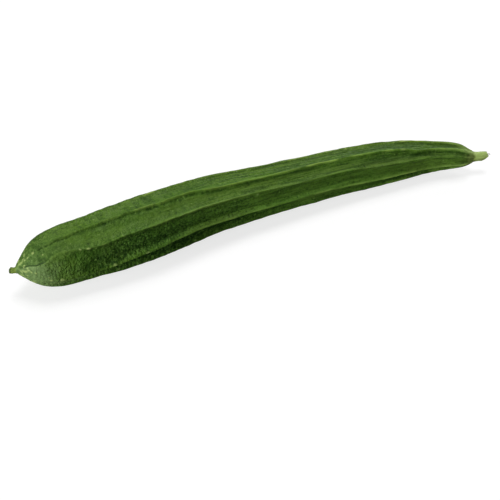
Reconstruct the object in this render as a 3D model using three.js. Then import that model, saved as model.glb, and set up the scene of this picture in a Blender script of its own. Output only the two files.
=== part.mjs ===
// Ridge gourd (angled luffa), as picked: one long fruit lying on a flat surface,
// with its cut stem stub at the +X end and the withered flower remnant at the -X end.
// Millimetres, +Z up. The origin is the middle of the bounding box, on the resting surface.
import * as THREE from 'three';

// ---------- driving dimensions ----------
// fruit axis: X runs evenly from AXIS_X0 to AXIS_X1, Y and Z are splined over the same fraction t
const AXIS_X0 = -193.216;
const AXIS_X1 = 187.184;
const AXIS_T = [0, 0.04, 0.12, 0.25, 0.4, 0.55, 0.7, 0.83, 0.93, 0.965, 0.985, 1];
const AXIS_Y = [-8.78, -9.15, -7.99, -2.91, 6.49, 10.12, 12.34, 10.96, 5.02, 0.2, -3.04, -5.57];
const AXIS_Z = [20.2, 21.44, 22.9, 23.57, 22.42, 20.24, 18.07, 16.33, 15.31, 15.02, 14.06, 14.09];

// crest radius, splined over w, where t = (1 - cos(pi w)) / 2 gathers stations at both ends
const RADIUS_W = [0, 0.04, 0.08, 0.12, 0.17, 0.23, 0.31, 0.4, 0.5, 0.6, 0.69, 0.77, 0.84, 0.89, 0.93, 0.965, 1];
const RADIUS_MM = [2.68, 4.91, 9.56, 16.0, 21.27, 23.21, 25.1, 24.18, 21.2, 19.15, 17.82, 14.84, 11.81, 10.2, 7.5, 5.5, 4.35];

// ten ridges run the whole length: degrees from the top, turning towards -Y
const RIDGE_DEG = [-20, 17, 51.5, 91, 126.96, 162.96, 198.96, 235.46, 271.5, 305.5];
const TWIST_T = [0, 0.15, 0.5, 0.75, 1];
const TWIST_DEG = [-1, -1, 0, 3, 7];
// groove depth as a share of the crest radius, over w
const GROOVE_W = [0, 0.05, 0.12, 0.25, 0.45, 0.7, 0.88, 1];
const GROOVE_SHARE = [0, 0.02, 0.06, 0.085, 0.1, 0.12, 0.175, 0.13];

const BODY_RINGS = 48;
// stations across one groove, as a share of the way from one crest to the next
const GROOVE_STATIONS = [0, 0.03, 0.17, 0.34, 0.5, 0.66, 0.83, 0.97];

const SEAT_GAP = 0.3; // clearance between the fruit and each end piece

// cut stem stub: five-angled, slightly waisted, its cut end bevelled on the lower front side
const STUB_END = [198.284, -8.45, 14.1];
const STUB_RINGS = 10;
const STUB_SIDES = 30;
const STUB_S = [0, 0.15, 0.35, 0.6, 0.85, 1];
const STUB_MM = [4.25, 3.95, 3.8, 3.75, 3.78, 3.72];
const STUB_ANGLES = 5;
const STUB_RIB = 0.05;
const STUB_BEVEL = 1.8; // how far the cut runs back for each mm below the bevel line
const STUB_BEVEL_FROM = 1.1; // the bevel line's distance below the middle of the cut end
const STUB_BEVEL_DIR = [0.25, -0.62, -0.74];

// withered flower remnant: a short soft cylinder with a rounded rim and a dimpled tip
const TIP_END = [-198.166, -7.0, 20.15];
const TIP_RINGS = 9;
const TIP_SIDES = 24;
const TIP_S = [0, 0.15, 0.4, 0.7, 0.86, 0.96, 1];
const TIP_MM = [2.55, 2.3, 2.15, 2.3, 2.2, 1.7, 1.05];
const TIP_DIMPLE = 0.35;

// ---------- helpers ----------
// natural cubic spline through (xs, ys)
function spline(xs, ys) {
  const n = xs.length;
  const h = xs.slice(1).map((x, i) => x - xs[i]);
  const m = new Array(n).fill(0);
  const c = new Array(n).fill(0);
  const d = new Array(n).fill(0);
  for (let i = 1; i < n - 1; i++) {
    const diag = 2 * (h[i - 1] + h[i]) - h[i - 1] * c[i - 1];
    c[i] = h[i] / diag;
    const rhs = 6 * ((ys[i + 1] - ys[i]) / h[i] - (ys[i] - ys[i - 1]) / h[i - 1]);
    d[i] = (rhs - h[i - 1] * d[i - 1]) / diag;
  }
  for (let i = n - 2; i > 0; i--) m[i] = d[i] - c[i] * m[i + 1];
  return (x) => {
    let i = 0;
    while (i < n - 2 && x > xs[i + 1]) i++;
    const a = (xs[i + 1] - x) / h[i];
    const b = (x - xs[i]) / h[i];
    return a * ys[i] + b * ys[i + 1] + (((a ** 3 - a) * m[i] + (b ** 3 - b) * m[i + 1]) * h[i] ** 2) / 6;
  };
}

const axisY = spline(AXIS_T, AXIS_Y);
const axisZ = spline(AXIS_T, AXIS_Z);
const crestRadius = spline(RADIUS_W, RADIUS_MM);
const twist = spline(TWIST_T, TWIST_DEG);
const grooveShare = spline(GROOVE_W, GROOVE_SHARE);

function axisPoint(t) {
  return new THREE.Vector3(AXIS_X0 + (AXIS_X1 - AXIS_X0) * t, axisY(t), axisZ(t));
}

function axisTangent(t) {
  return axisPoint(t + 1e-4).sub(axisPoint(t - 1e-4)).normalize();
}

// up and towards -Y, both square to the tangent
function ringFrame(tangent) {
  const up = new THREE.Vector3(0, 0, 1);
  up.addScaledVector(tangent, -up.dot(tangent)).normalize();
  return { up, front: new THREE.Vector3().crossVectors(tangent, up) };
}

// one closed solid from rings of equal size, with a point in the middle of each end
function closedLoft(rings, first, last) {
  const n = rings[0].length;
  const points = [...rings.flat(), first, last];
  const index = [];
  for (let i = 0; i < rings.length - 1; i++) {
    for (let j = 0; j < n; j++) {
      const k = (j + 1) % n;
      const a = i * n + j, b = i * n + k, c = (i + 1) * n + k, d = (i + 1) * n + j;
      index.push(a, b, c, a, c, d);
    }
  }
  const p = rings.length * n;
  const e = (rings.length - 1) * n;
  for (let j = 0; j < n; j++) {
    const k = (j + 1) % n;
    index.push(p, k, j);
    index.push(p + 1, e + j, e + k);
  }
  const geometry = new THREE.BufferGeometry();
  geometry.setAttribute('position', new THREE.Float32BufferAttribute(points.flatMap((v) => v.toArray()), 3));
  geometry.setIndex(index);
  geometry.computeVertexNormals();
  return geometry;
}

// ---------- fruit ----------
function bodyGeometry() {
  const rings = [];
  for (let i = 0; i < BODY_RINGS; i++) {
    const w = i / (BODY_RINGS - 1);
    const t = (1 - Math.cos(Math.PI * w)) / 2;
    const centre = axisPoint(t);
    const { up, front } = ringFrame(axisTangent(t));
    const R = crestRadius(w);
    const depth = grooveShare(w);
    const turn = twist(t);
    const ring = [];
    RIDGE_DEG.forEach((deg, r) => {
      const next = r + 1 < RIDGE_DEG.length ? RIDGE_DEG[r + 1] : RIDGE_DEG[0] + 360;
      for (const f of GROOVE_STATIONS) {
        const angle = THREE.MathUtils.degToRad(deg + (next - deg) * f + turn);
        const radius = R * (1 - depth * (1 - (2 * f - 1) ** 2));
        const v = centre.clone()
          .addScaledVector(up, radius * Math.cos(angle))
          .addScaledVector(front, radius * Math.sin(angle));
        v.z = Math.max(v.z, 0); // crests flattened where the fruit's weight rests on them
        ring.push(v);
      }
    });
    rings.push(ring);
  }
  return closedLoft(rings, axisPoint(0), axisPoint(1));
}

// ---------- end pieces ----------
// a short loft that leaves the fruit square to its end and bends to the given end point
function endPiece({ base, heading, end, ringCount, sides, sKnots, rKnots, radial, shift }) {
  const reach = end.clone().sub(base);
  const mid = base.clone().addScaledVector(heading, reach.length() * 0.45);
  const path = new THREE.QuadraticBezierCurve3(base, mid, end);
  const radius = spline(sKnots, rKnots);
  const rings = [];
  for (let i = 0; i < ringCount; i++) {
    const s = i / (ringCount - 1);
    const centre = path.getPoint(s);
    const tangent = path.getTangent(s);
    const { up, front } = ringFrame(tangent);
    const ring = [];
    for (let j = 0; j < sides; j++) {
      const angle = (j / sides) * Math.PI * 2;
      const r = radius(s) * radial(angle, s);
      const offset = up.clone().multiplyScalar(r * Math.cos(angle)).addScaledVector(front, r * Math.sin(angle));
      ring.push(centre.clone().add(offset).addScaledVector(tangent, shift(offset, s)));
    }
    rings.push(ring);
  }
  return { rings, path };
}

function stubGeometry() {
  const heading = axisTangent(1);
  const base = axisPoint(1).addScaledVector(heading, SEAT_GAP);
  const bevelDir = new THREE.Vector3(...STUB_BEVEL_DIR).normalize();
  const { rings } = endPiece({
    base, heading, end: new THREE.Vector3(...STUB_END),
    ringCount: STUB_RINGS, sides: STUB_SIDES, sKnots: STUB_S, rKnots: STUB_MM,
    radial: (angle) => 1 + STUB_RIB * Math.cos(STUB_ANGLES * (angle - 0.3)),
    shift: (offset, s) => -STUB_BEVEL * s ** 2 * Math.max(0, offset.dot(bevelDir) - STUB_BEVEL_FROM),
  });
  const last = rings[rings.length - 1];
  const lastMid = last.reduce((a, v) => a.add(v), new THREE.Vector3()).divideScalar(last.length);
  return closedLoft(rings, base, lastMid);
}

function tipGeometry() {
  const heading = axisTangent(0).negate();
  const base = axisPoint(0).addScaledVector(heading, SEAT_GAP);
  const end = new THREE.Vector3(...TIP_END);
  const { rings, path } = endPiece({
    base, heading, end,
    ringCount: TIP_RINGS, sides: TIP_SIDES, sKnots: TIP_S, rKnots: TIP_MM,
    radial: () => 1,
    shift: () => 0,
  });
  const inner = end.clone().addScaledVector(path.getTangent(1), -TIP_DIMPLE);
  return closedLoft(rings, base, inner);
}

function node(name, geometry, colour, roughness) {
  const mesh = new THREE.Mesh(geometry, new THREE.MeshStandardMaterial({ color: colour, roughness, metalness: 0 }));
  mesh.name = name;
  return mesh;
}

const gourd = new THREE.Group();
gourd.name = 'ridge_gourd';
gourd.add(node('gourd_body', bodyGeometry(), 0x4a6a2a, 0.45));
gourd.add(node('stem_stub', stubGeometry(), 0x9cb062, 0.6));
gourd.add(node('blossom_tip', tipGeometry(), 0x6c8232, 0.7));

export default gourd;
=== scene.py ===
import math

import bpy
import numpy as np
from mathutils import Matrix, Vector


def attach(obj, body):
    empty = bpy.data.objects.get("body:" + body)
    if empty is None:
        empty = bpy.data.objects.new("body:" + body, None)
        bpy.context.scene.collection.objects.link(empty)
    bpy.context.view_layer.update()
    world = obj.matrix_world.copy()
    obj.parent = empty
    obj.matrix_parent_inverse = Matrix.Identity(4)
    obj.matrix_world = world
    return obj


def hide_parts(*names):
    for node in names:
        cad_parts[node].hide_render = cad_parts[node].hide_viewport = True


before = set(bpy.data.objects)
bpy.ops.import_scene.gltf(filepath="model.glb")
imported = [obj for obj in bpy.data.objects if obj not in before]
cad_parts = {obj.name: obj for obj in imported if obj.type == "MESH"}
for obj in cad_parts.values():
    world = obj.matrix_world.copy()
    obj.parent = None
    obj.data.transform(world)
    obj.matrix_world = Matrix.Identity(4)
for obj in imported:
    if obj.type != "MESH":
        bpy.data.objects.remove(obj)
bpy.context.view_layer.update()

MM = 0.001

# ------------------------------------------------------------------ shape of the fruit (mm), as in the CAD
AXIS_X0, AXIS_X1 = -193.216, 187.184
AXIS_T = [0, 0.04, 0.12, 0.25, 0.4, 0.55, 0.7, 0.83, 0.93, 0.965, 0.985, 1]
AXIS_Y = [-8.78, -9.15, -7.99, -2.91, 6.49, 10.12, 12.34, 10.96, 5.02, 0.2, -3.04, -5.57]
AXIS_Z = [20.2, 21.44, 22.9, 23.57, 22.42, 20.24, 18.07, 16.33, 15.31, 15.02, 14.06, 14.09]
RADIUS_W = [0, 0.04, 0.08, 0.12, 0.17, 0.23, 0.31, 0.4, 0.5, 0.6, 0.69, 0.77, 0.84, 0.89, 0.93, 0.965, 1]
RADIUS_MM = [2.68, 4.91, 9.56, 16.0, 21.27, 23.21, 25.1, 24.18, 21.2, 19.15, 17.82, 14.84, 11.81, 10.2, 7.5, 5.5, 4.35]
RIDGE_DEG = [-20, 17, 51.5, 91, 126.96, 162.96, 198.96, 235.46, 271.5, 305.5]
TWIST_T = [0, 0.15, 0.5, 0.75, 1]
TWIST_DEG = [-1, -1, 0, 3, 7]
GROOVE_W = [0, 0.05, 0.12, 0.25, 0.45, 0.7, 0.88, 1]
GROOVE_SHARE = [0, 0.02, 0.06, 0.085, 0.1, 0.12, 0.175, 0.13]
SEAT_GAP = 0.3
STUB_END = [198.284, -8.45, 14.1]
STUB_S = [0, 0.15, 0.35, 0.6, 0.85, 1]
STUB_MM = [4.25, 3.95, 3.8, 3.75, 3.78, 3.72]
STUB_BEVEL, STUB_BEVEL_FROM, STUB_BEVEL_DIR = 1.8, 1.1, [0.25, -0.62, -0.74]
TIP_END = [-198.166, -7.0, 20.15]
TIP_S = [0, 0.15, 0.4, 0.7, 0.86, 0.96, 1]
TIP_MM = [2.55, 2.3, 2.15, 2.3, 2.2, 1.7, 1.05]


def spline(xs, ys):
    """Natural cubic spline through (xs, ys)."""
    xs, ys = np.array(xs, float), np.array(ys, float)
    n, h = len(xs), np.diff(xs)
    A, b = np.zeros((n, n)), np.zeros(n)
    A[0, 0] = A[-1, -1] = 1
    for i in range(1, n - 1):
        A[i, i - 1], A[i, i], A[i, i + 1] = h[i - 1], 2 * (h[i - 1] + h[i]), h[i]
        b[i] = 6 * ((ys[i + 1] - ys[i]) / h[i] - (ys[i] - ys[i - 1]) / h[i - 1])
    m = np.linalg.solve(A, b)

    def f(x):
        x = np.asarray(x, float)
        i = np.clip(np.searchsorted(xs, x) - 1, 0, n - 2)
        p, q = (xs[i + 1] - x) / h[i], (x - xs[i]) / h[i]
        return p * ys[i] + q * ys[i + 1] + ((p**3 - p) * m[i] + (q**3 - q) * m[i + 1]) * h[i] ** 2 / 6

    return f


axis_y, axis_z = spline(AXIS_T, AXIS_Y), spline(AXIS_T, AXIS_Z)
crest_radius, twist_deg, groove = spline(RADIUS_W, RADIUS_MM), spline(TWIST_T, TWIST_DEG), spline(GROOVE_W, GROOVE_SHARE)


def axis_point(t):
    t = np.asarray(t, float)
    return np.stack([AXIS_X0 + (AXIS_X1 - AXIS_X0) * t, axis_y(t), axis_z(t)], -1)


def axis_tangent(t):
    d = axis_point(np.asarray(t) + 1e-4) - axis_point(np.asarray(t) - 1e-4)
    return d / np.linalg.norm(d, axis=-1, keepdims=True)


def ring_frame(tangent):
    z = np.array([0, 0, 1.0])
    up = z - tangent * (tangent @ z)[..., None]
    up = up / np.linalg.norm(up, axis=-1, keepdims=True)
    return up, np.cross(tangent, up)


# ------------------------------------------------------------------ seeded noise
def _hash(ix, iy, iz, seed):
    M = 0xFFFFFFFF
    h = (ix * 374761393 + iy * 668265263 + iz * 1442695041 + seed * 1013904223) & M
    h = ((h ^ (h >> 13)) * 1274126177) & M
    h = ((h ^ (h >> 16)) * 2246822519) & M
    return (h ^ (h >> 15)) / float(M)


def noise(p, seed):
    """Smooth value noise in -1..1 at points p (..., 3), one cell to a unit."""
    c = np.floor(p).astype(np.int64)
    f = p - c
    f = f * f * f * (f * (f * 6 - 15) + 10)
    out = 0.0
    for dx in (0, 1):
        for dy in (0, 1):
            for dz in (0, 1):
                wx = f[..., 0] if dx else 1 - f[..., 0]
                wy = f[..., 1] if dy else 1 - f[..., 1]
                wz = f[..., 2] if dz else 1 - f[..., 2]
                out = out + wx * wy * wz * _hash(c[..., 0] + dx, c[..., 1] + dy, c[..., 2] + dz, seed)
    return out * 2 - 1


def fbm(p, seed, octaves=3, gain=0.5):
    total, amp, norm = 0.0, 1.0, 0.0
    for o in range(octaves):
        total = total + amp * noise(p * 2**o + 17.3 * o, seed + o)
        norm += amp
        amp *= gain
    return total / norm


def smooth(x, a, b):
    x = np.clip((np.asarray(x, float) - a) / (b - a), 0, 1)
    return x * x * (3 - 2 * x)


def gauss(x, w):
    return np.exp(-((x / w) ** 2))


# ------------------------------------------------------------------ mesh helpers
def new_object(name, verts, faces, attributes=None, uv=None, material=None):
    me = bpy.data.meshes.new(name)
    me.from_pydata(np.asarray(verts, float).tolist(), [], [list(map(int, f)) for f in faces])
    me.update()
    for key, (kind, data) in (attributes or {}).items():
        a = me.attributes.new(key, kind, "POINT")
        data = np.asarray(data, np.float32)
        a.data.foreach_set("vector" if kind == "FLOAT_VECTOR" else "value", data.ravel())
    if uv is not None:
        layer = me.uv_layers.new(name="OFBake")
        layer.data.foreach_set("uv", np.asarray(uv, np.float32).ravel())
    me.polygons.foreach_set("use_smooth", [True] * len(me.polygons))
    ob = bpy.data.objects.new(name, me)
    bpy.context.scene.collection.objects.link(ob)
    if material:
        me.materials.append(material)
    return ob


def loft(rings, first, last):
    """Vertices, quads and end triangles of a closed loft: rings (n, m, 3) with a middle point at each end."""
    n, m = rings.shape[:2]
    verts = np.concatenate([rings.reshape(-1, 3), [first], [last]])
    i, j = np.meshgrid(np.arange(n - 1), np.arange(m), indexing="ij")
    k = (j + 1) % m
    quads = np.stack([i * m + j, i * m + k, (i + 1) * m + k, (i + 1) * m + j], -1).reshape(-1, 4)
    j = np.arange(m)
    k = (j + 1) % m
    e = (n - 1) * m
    caps = np.concatenate(
        [np.stack([np.full(m, n * m), k, j], 1), np.stack([np.full(m, n * m + 1), e + j, e + k], 1)]
    )
    return verts, quads, caps


def bezier(base, heading, end):
    """The path of an end piece: it leaves the fruit square to its end and bends to the given point."""
    base, end = np.asarray(base, float), np.asarray(end, float)
    mid = base + heading * np.linalg.norm(end - base) * 0.45

    def point(s):
        s = np.asarray(s, float)[..., None]
        return (1 - s) ** 2 * base + 2 * s * (1 - s) * mid + s * s * end

    def tangent(s):
        s = np.asarray(s, float)[..., None]
        d = (1 - s) * (mid - base) + s * (end - mid)
        return d / np.linalg.norm(d, axis=-1, keepdims=True)

    return point, tangent


# ------------------------------------------------------------------ materials
class Nodes:
    def __init__(self, name=None, tree=None):
        if name:
            self.mat = bpy.data.materials.new(name)
            self.mat.use_nodes = True
            self.tree = self.mat.node_tree
            self.bsdf = self.tree.nodes["Principled BSDF"]
        else:
            self.tree = tree

    def add(self, kind, **props):
        n = self.tree.nodes.new(kind)
        for k, v in props.items():
            setattr(n, k, v)
        return n

    def put(self, socket, value):
        if isinstance(value, (int, float, tuple, list)):
            socket.default_value = value
        else:
            self.tree.links.new(value, socket)

    def attr(self, name, out="Fac"):
        return self.add("ShaderNodeAttribute", attribute_name=name).outputs[out]

    def math(self, op, a, b=0.0, clamp=False):
        n = self.add("ShaderNodeMath", operation=op, use_clamp=clamp)
        self.put(n.inputs[0], a)
        self.put(n.inputs[1], b)
        return n.outputs[0]

    def times(self, *parts):
        out = parts[0]
        for p in parts[1:]:
            out = self.math("MULTIPLY", out, p)
        return out

    def remap(self, x, a, b, c=0.0, d=1.0, kind="SMOOTHSTEP"):
        n = self.add("ShaderNodeMapRange", interpolation_type=kind)
        for k, v in zip((0, 1, 2, 3, 4), (x, a, b, c, d)):
            self.put(n.inputs[k], v)
        return n.outputs[0]

    def noise(self, vector, scale, detail=3.0, rough=0.5, distortion=0.0):
        n = self.add("ShaderNodeTexNoise")
        self.put(n.inputs["Vector"], vector)
        for key, value in zip(("Scale", "Detail", "Roughness", "Distortion"), (scale, detail, rough, distortion)):
            n.inputs[key].default_value = value
        return n.outputs["Fac"]

    def voronoi(self, vector, scale, feature="F1", out="Distance"):
        n = self.add("ShaderNodeTexVoronoi", feature=feature)
        self.put(n.inputs["Vector"], vector)
        n.inputs["Scale"].default_value = scale
        return n.outputs[out]

    def scaled(self, vector, xyz, shift=(0, 0, 0)):
        n = self.add("ShaderNodeVectorMath", operation="MULTIPLY_ADD")
        self.put(n.inputs[0], vector)
        n.inputs[1].default_value = xyz
        n.inputs[2].default_value = shift
        return n.outputs[0]

    def mix(self, fac, a, b, blend="MIX"):
        n = self.add("ShaderNodeMix", data_type="RGBA", blend_type=blend)
        colours = [s for s in n.inputs if s.type == "RGBA"]
        factor = [s for s in n.inputs if s.name == "Factor" and s.type == "VALUE"][0]
        self.put(factor, fac)
        for socket, value in zip(colours, (a, b)):
            self.put(socket, (*value, 1.0) if isinstance(value, tuple) else value)
        return [s for s in n.outputs if s.type == "RGBA"][0]

    def bump(self, height, strength, distance):
        n = self.add("ShaderNodeBump")
        n.inputs["Strength"].default_value = strength
        n.inputs["Distance"].default_value = distance
        self.put(n.inputs["Height"], height)
        self.put(self.bsdf.inputs["Normal"], n.outputs["Normal"])


def srgb(r, g, b):
    def f(c):
        c /= 255.0
        return c / 12.92 if c <= 0.04045 else ((c + 0.055) / 1.055) ** 2.4

    return (f(r), f(g), f(b))


# ------------------------------------------------------------------ the fruit
LENGTH = AXIS_X1 - AXIS_X0
GAP_STEPS = 20
RINGS = 472
k = np.arange(GAP_STEPS) / GAP_STEPS
f_steps = 0.5 * 0.5 * (1 - np.cos(math.pi * k)) + 0.5 * k
ridge = np.array(RIDGE_DEG + [RIDGE_DEG[0] + 360.0])
gap_id = np.repeat(np.arange(10), GAP_STEPS)
f_in = np.tile(f_steps, 10)
u = np.linspace(0, 1, RINGS)
t = 0.5 * u + 0.5 * (1 - np.cos(math.pi * u)) / 2
w = np.arccos(np.clip(1 - 2 * t, -1, 1)) / math.pi

# each ridge wanders a little on its way
rng = np.random.default_rng(41)
wander_t = np.linspace(0, 1, 13)
wander = np.cumsum(rng.normal(0, 1.1, (10, 13)), 1)
wander = (wander - wander.mean(1, keepdims=True)) * 0.8
wander[1] = [-0.8, -0.9, -2.6, -2.9, -0.4, 5.4, 4.5, 2.0, -0.3, -1.0, -0.8, 3.3, -2.6]
wander[2] = [-1.6, -9.0, -2.4, 0.2, -0.4, 0.3, 0.0, 1.2, -0.6, 0.4, 3.2, 5.0, 2.5]
wander[3] = [5.0, 13.0, 11.5, 4.3, -1.0, 0.6, 1.2, 0.4, -1.5, 2.4, 3.0, 7.5, 17.0]
wander[4, -3:] = [1.0, 5.0, 10.0]
wander[:, 0] *= 0.5
shift = np.stack([spline(wander_t, wander[r])(t) for r in range(10)], 1)  # (rings, 10)
shift[:, 2] += 11.0 * smooth(t, 0.0, 0.012) * (1 - smooth(t, 0.043, 0.08)) - 7.0 * smooth(t, 0.003, 0.01) * (1 - smooth(t, 0.018, 0.036)) + 7.5 * gauss(t - 0.135, 0.042) + 3.2 * gauss(t - 0.785, 0.06) - 3.5 * gauss(t - 0.905, 0.035)
shift[:, 1] += 6.0 * gauss(t - 0.879, 0.025) - 3.5 * gauss(t - 0.365, 0.03)
waver = noise(np.stack([np.repeat(t[:, None] * LENGTH / 8.5, 10, 1), np.arange(10)[None, :] * 9.1 + 0 * t[:, None], np.zeros((RINGS, 10))], -1), 19)
shift = shift + waver * np.array([1.2, 1.8, 0.7, 0.8, 1.0, 1.2, 0.9, 1.1, 1.0, 1.2]) * (smooth(t, 0.08, 0.14) * (1 - 0.75 * smooth(t, 0.3, 0.5)))[:, None]
shift = np.concatenate([shift, shift[:, :1]], 1)
lo = ridge[gap_id][None, :] + shift[:, gap_id]
hi = ridge[gap_id + 1][None, :] + shift[:, gap_id + 1]
ring_deg = lo + (hi - lo) * f_in[None, :]  # (rings, around), without twist
angle = np.radians(ring_deg + twist_deg(t)[:, None])

R = crest_radius(w)[:, None]
depth = (groove(w) * smooth(t, 0.01, 0.12) * (1 - 0.9 * smooth(t, 0.972, 1.0)))[:, None]
f = np.broadcast_to(f_in[None, :], angle.shape)
h = np.minimum(f, 1 - f) * 2  # 0 on a crest, 1 in the middle of a groove
S = (t * LENGTH)[:, None] + 0 * f  # mm along
T2 = t[:, None] + 0 * f
crest_mm = h * 0.5 * np.radians(hi - lo) * R  # mm to the nearest crest
ring_pos = gap_id[None, :] + f  # 0..10 round the fruit, whole numbers on the crests
ra = np.radians(ring_deg)
flow = np.stack([S, R * np.cos(ra), R * np.sin(ra)], -1)  # straightened coordinates, mm

# the ridges stand out most low on the front, least on top
GAP_DEPTH = np.array([0.95, 1.1, 1.35, 1.6, 1.35, 1.25, 1.3, 1.35, 1.2, 1.0])
profile = 1 - GAP_DEPTH[gap_id][None, :] * depth * (1 - (1 - np.clip(np.sqrt(h * h + 0.035**2) - 0.035, 0, 1)) ** 1.8)
ends = smooth(t, 0.0, 0.05)[:, None] * smooth(1 - t, 0.0, 0.03)[:, None]

# each ridge is a rounded rib that stands off the flanks, weak at the thick end and strong from the middle on;
# its two sides differ: (width, height) above and below each ridge
RIB_ABOVE = [(1.5, 1.0), (1.3, 0.9), (1.6, 1.0), (1.8, 1.3), (2.2, 1.3), (1.6, 1.2), (2.4, 1.5), (1.5, 1.1), (2.0, 1.3), (1.7, 1.1)]
RIB_BELOW = [(1.6, 1.0), (1.7, 1.2), (1.9, 1.6), (1.8, 1.9), (1.6, 1.3), (2.1, 1.3), (1.5, 1.1), (1.9, 1.4), (1.4, 1.1), (1.8, 1.2)]
BEAD_T, BEAD_MM = [0, 0.06, 0.15, 0.3, 0.5, 0.8, 0.95, 1], [0.05, 0.12, 0.3, 0.62, 0.85, 0.8, 0.6, 0.45]
bead = np.interp(T2, BEAD_T, BEAD_MM) * (1 + 0.3 * noise(flow * np.array([0.03, 0.12, 0.12]), 5))
gap_mm = np.radians(hi - lo) * R
from_upper, from_lower = f * gap_mm, (1 - f) * gap_mm
small = 0.55 + 0.45 * smooth(R, 8, 20)
side = smooth(f, 0.3, 0.7)
w_up, a_up_side = (np.array(RIB_BELOW)[gap_id][None, :, i] for i in (0, 1))
w_low, a_low_side = (np.array(RIB_ABOVE)[(gap_id + 1) % 10][None, :, i] for i in (0, 1))
bead = bead * (1 - smooth(T2, 0.975, 1.0))
relief = -bead * ((1 - side) * a_up_side * (1 - gauss(from_upper, w_up * small)) + side * a_low_side * (1 - gauss(from_lower, w_low * small)))
# the flank above one ridge is cut more deeply: it drops twice from the upper crest, then climbs steeply to the lower one
FLANK_F = [0, 0.05, 0.12, 0.2, 0.3, 0.42, 0.52, 0.62, 0.7, 0.77, 0.82, 0.88, 0.94, 1]
FLANK_MM = [0, -0.4, -0.95, -1.15, -1.15, -1.2, -1.35, -1.7, -2.15, -2.4, -2.25, -1.5, -0.65, 0]
half = np.radians(hi - lo) / 2
flank = R * np.cos(half) / np.cos(half * (2 * f - 1)) + spline(FLANK_F, FLANK_MM)(f) * R / 22
cut = (gap_id == 2)[None, :] * smooth(T2, 0.1, 0.2) * (1 - smooth(T2, 0.45, 0.57))
relief = (1 - cut) * relief + cut * (flank - R * profile)
# hollows under the crests of the thick end, broken along their length
hollow = smooth(noise(np.stack([S / 6.5, gap_id[None, :] * 5.3 + 0 * S, 0 * S + 2], -1), 17), -0.25, 0.45)
hollow = hollow * smooth(T2, 0.07, 0.13) * (1 - smooth(T2, 0.34, 0.5)) * gauss(from_upper - 1.7, 1.3)
HOLLOW_MM = np.array([0.25, 0.0, 0.3, 0.3, 0.5, 0.35, 0.6, 0.4, 0.7, 0.3])
relief = relief - HOLLOW_MM[gap_id][None, :] * hollow
under = noise(np.stack([S / 4.2, 0 * S, 0 * S + 6], -1), 23) + 0.5 * noise(np.stack([S / 1.9, 0 * S, 0 * S + 9], -1), 24)
step_at = 1.35 + 0.45 * noise(np.stack([S / 5.0, 0 * S, 0 * S + 3], -1), 25) - 0.3 * (1 - smooth(T2, 0.05, 0.12))
under = (0.62 + 0.3 * (1 - smooth(T2, 0.1, 0.15)) + (0.38 - 0.22 * (1 - smooth(T2, 0.1, 0.15))) * np.clip(under + 0.3, -1, 1)) * smooth(T2, 0.03, 0.052) * (1 - smooth(T2, 0.36, 0.5)) * (gap_id == 1)[None, :]
slight = 0.55 + np.interp(T2, [0.1, 0.15, 0.27, 0.32], [0, 0.75, 0.75, 0.45])
under = under * np.where(from_upper < step_at, gauss(from_upper - step_at, 0.75 * slight), gauss(from_upper - step_at, 1.5 * slight))
relief = relief - 1.25 * under
# crests dip and rise, with small nicks
relief = relief + ends * 0.3 * noise(flow * np.array([0.05, 0.09, 0.09]), 9) * gauss(crest_mm, 3.0)
relief = relief + ends * 0.15 * noise(flow * np.array([0.2, 0.12, 0.12]), 13) * gauss(crest_mm, 1.6) * smooth(R, 6, 18)
# slow swells of the whole flank
relief = relief + ends * 0.45 * fbm(flow / 38.0, 21, 2)
relief = relief + ends * 0.2 * fbm(flow / 8.0, 31, 2)
# low veins run along the grooves, clearest towards the neck
veins = 0.0
for n, f0 in enumerate((0.27, 0.5, 0.74)):
    line = f0 + 0.05 * noise(np.stack([S / 50.0, gap_id[None, :] * 3.7 + n * 1.3 + 0 * S, 0 * S], -1), 51 + n)
    strength = smooth(noise(np.stack([S / 26.0, gap_id[None, :] * 2.1 + n + 0 * S, 0 * S + 4], -1), 61 + n), -0.5, 0.7)
    veins = veins + strength * gauss((f - line) * R * 0.63, 0.75)
relief = relief + ends * 0.34 * veins * smooth(T2, 0.25, 0.6) * smooth(R, 5, 12)
fine_streak = noise(flow * np.array([1 / 15.0, 1 / 2.0, 1 / 2.0]), 67)
relief = relief + ends * 0.11 * fine_streak * smooth(T2, 0.2, 0.55)
# uneven wrinkles across the grooves on the thick end
warped = flow + 1.8 * np.stack([noise(flow / 7.0, 71 + n) for n in range(3)], -1)
wrinkle = noise(warped * np.array([1 / 2.6, 1 / 8.0, 1 / 8.0]), 75)
wrinkle_mask = smooth(T2, 0.02, 0.08) * (1 - smooth(T2, 0.3, 0.5)) * smooth(crest_mm, 0.5, 3.0)
wrinkle_mask = wrinkle_mask * (0.25 + 0.75 * smooth(noise(flow / 17.0, 77), -0.3, 0.5))
relief = relief + (0.24 - 0.07 * (1 - smooth(T2, 0.1, 0.16))) * wrinkle * wrinkle_mask
# fine unevenness of the skin
slim = smooth(T2, 0.28, 0.5)
relief = relief + ends * (1 - slim) * (0.08 * noise(flow / 2.9, 81) + 0.11 * noise(flow / 4.7, 83))
relief = relief + ends * slim * 0.16 * noise(flow * np.array([1 / 17.0, 1 / 3.0, 1 / 3.0]), 85)
# a crease runs from the flower end above one ridge
on_upper = (gap_id == 1)[None, :] * (1 - f) * np.radians(hi - lo) * R + (gap_id != 1)[None, :] * 99.0
on_lower = (gap_id == 2)[None, :] * f * np.radians(hi - lo) * R + (gap_id != 2)[None, :] * 99.0
crease = gauss(on_upper - 0.5, 0.55) * smooth(T2, 0.006, 0.014) * (1 - smooth(T2, 0.045, 0.058))
shelf = 0.4 * smooth(-on_lower, -3.4, -0.4) * smooth(T2, 0.003, 0.01) * (1 - smooth(T2, 0.02, 0.055))
relief = relief - 0.4 * crease

radius = R * profile + relief
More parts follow.
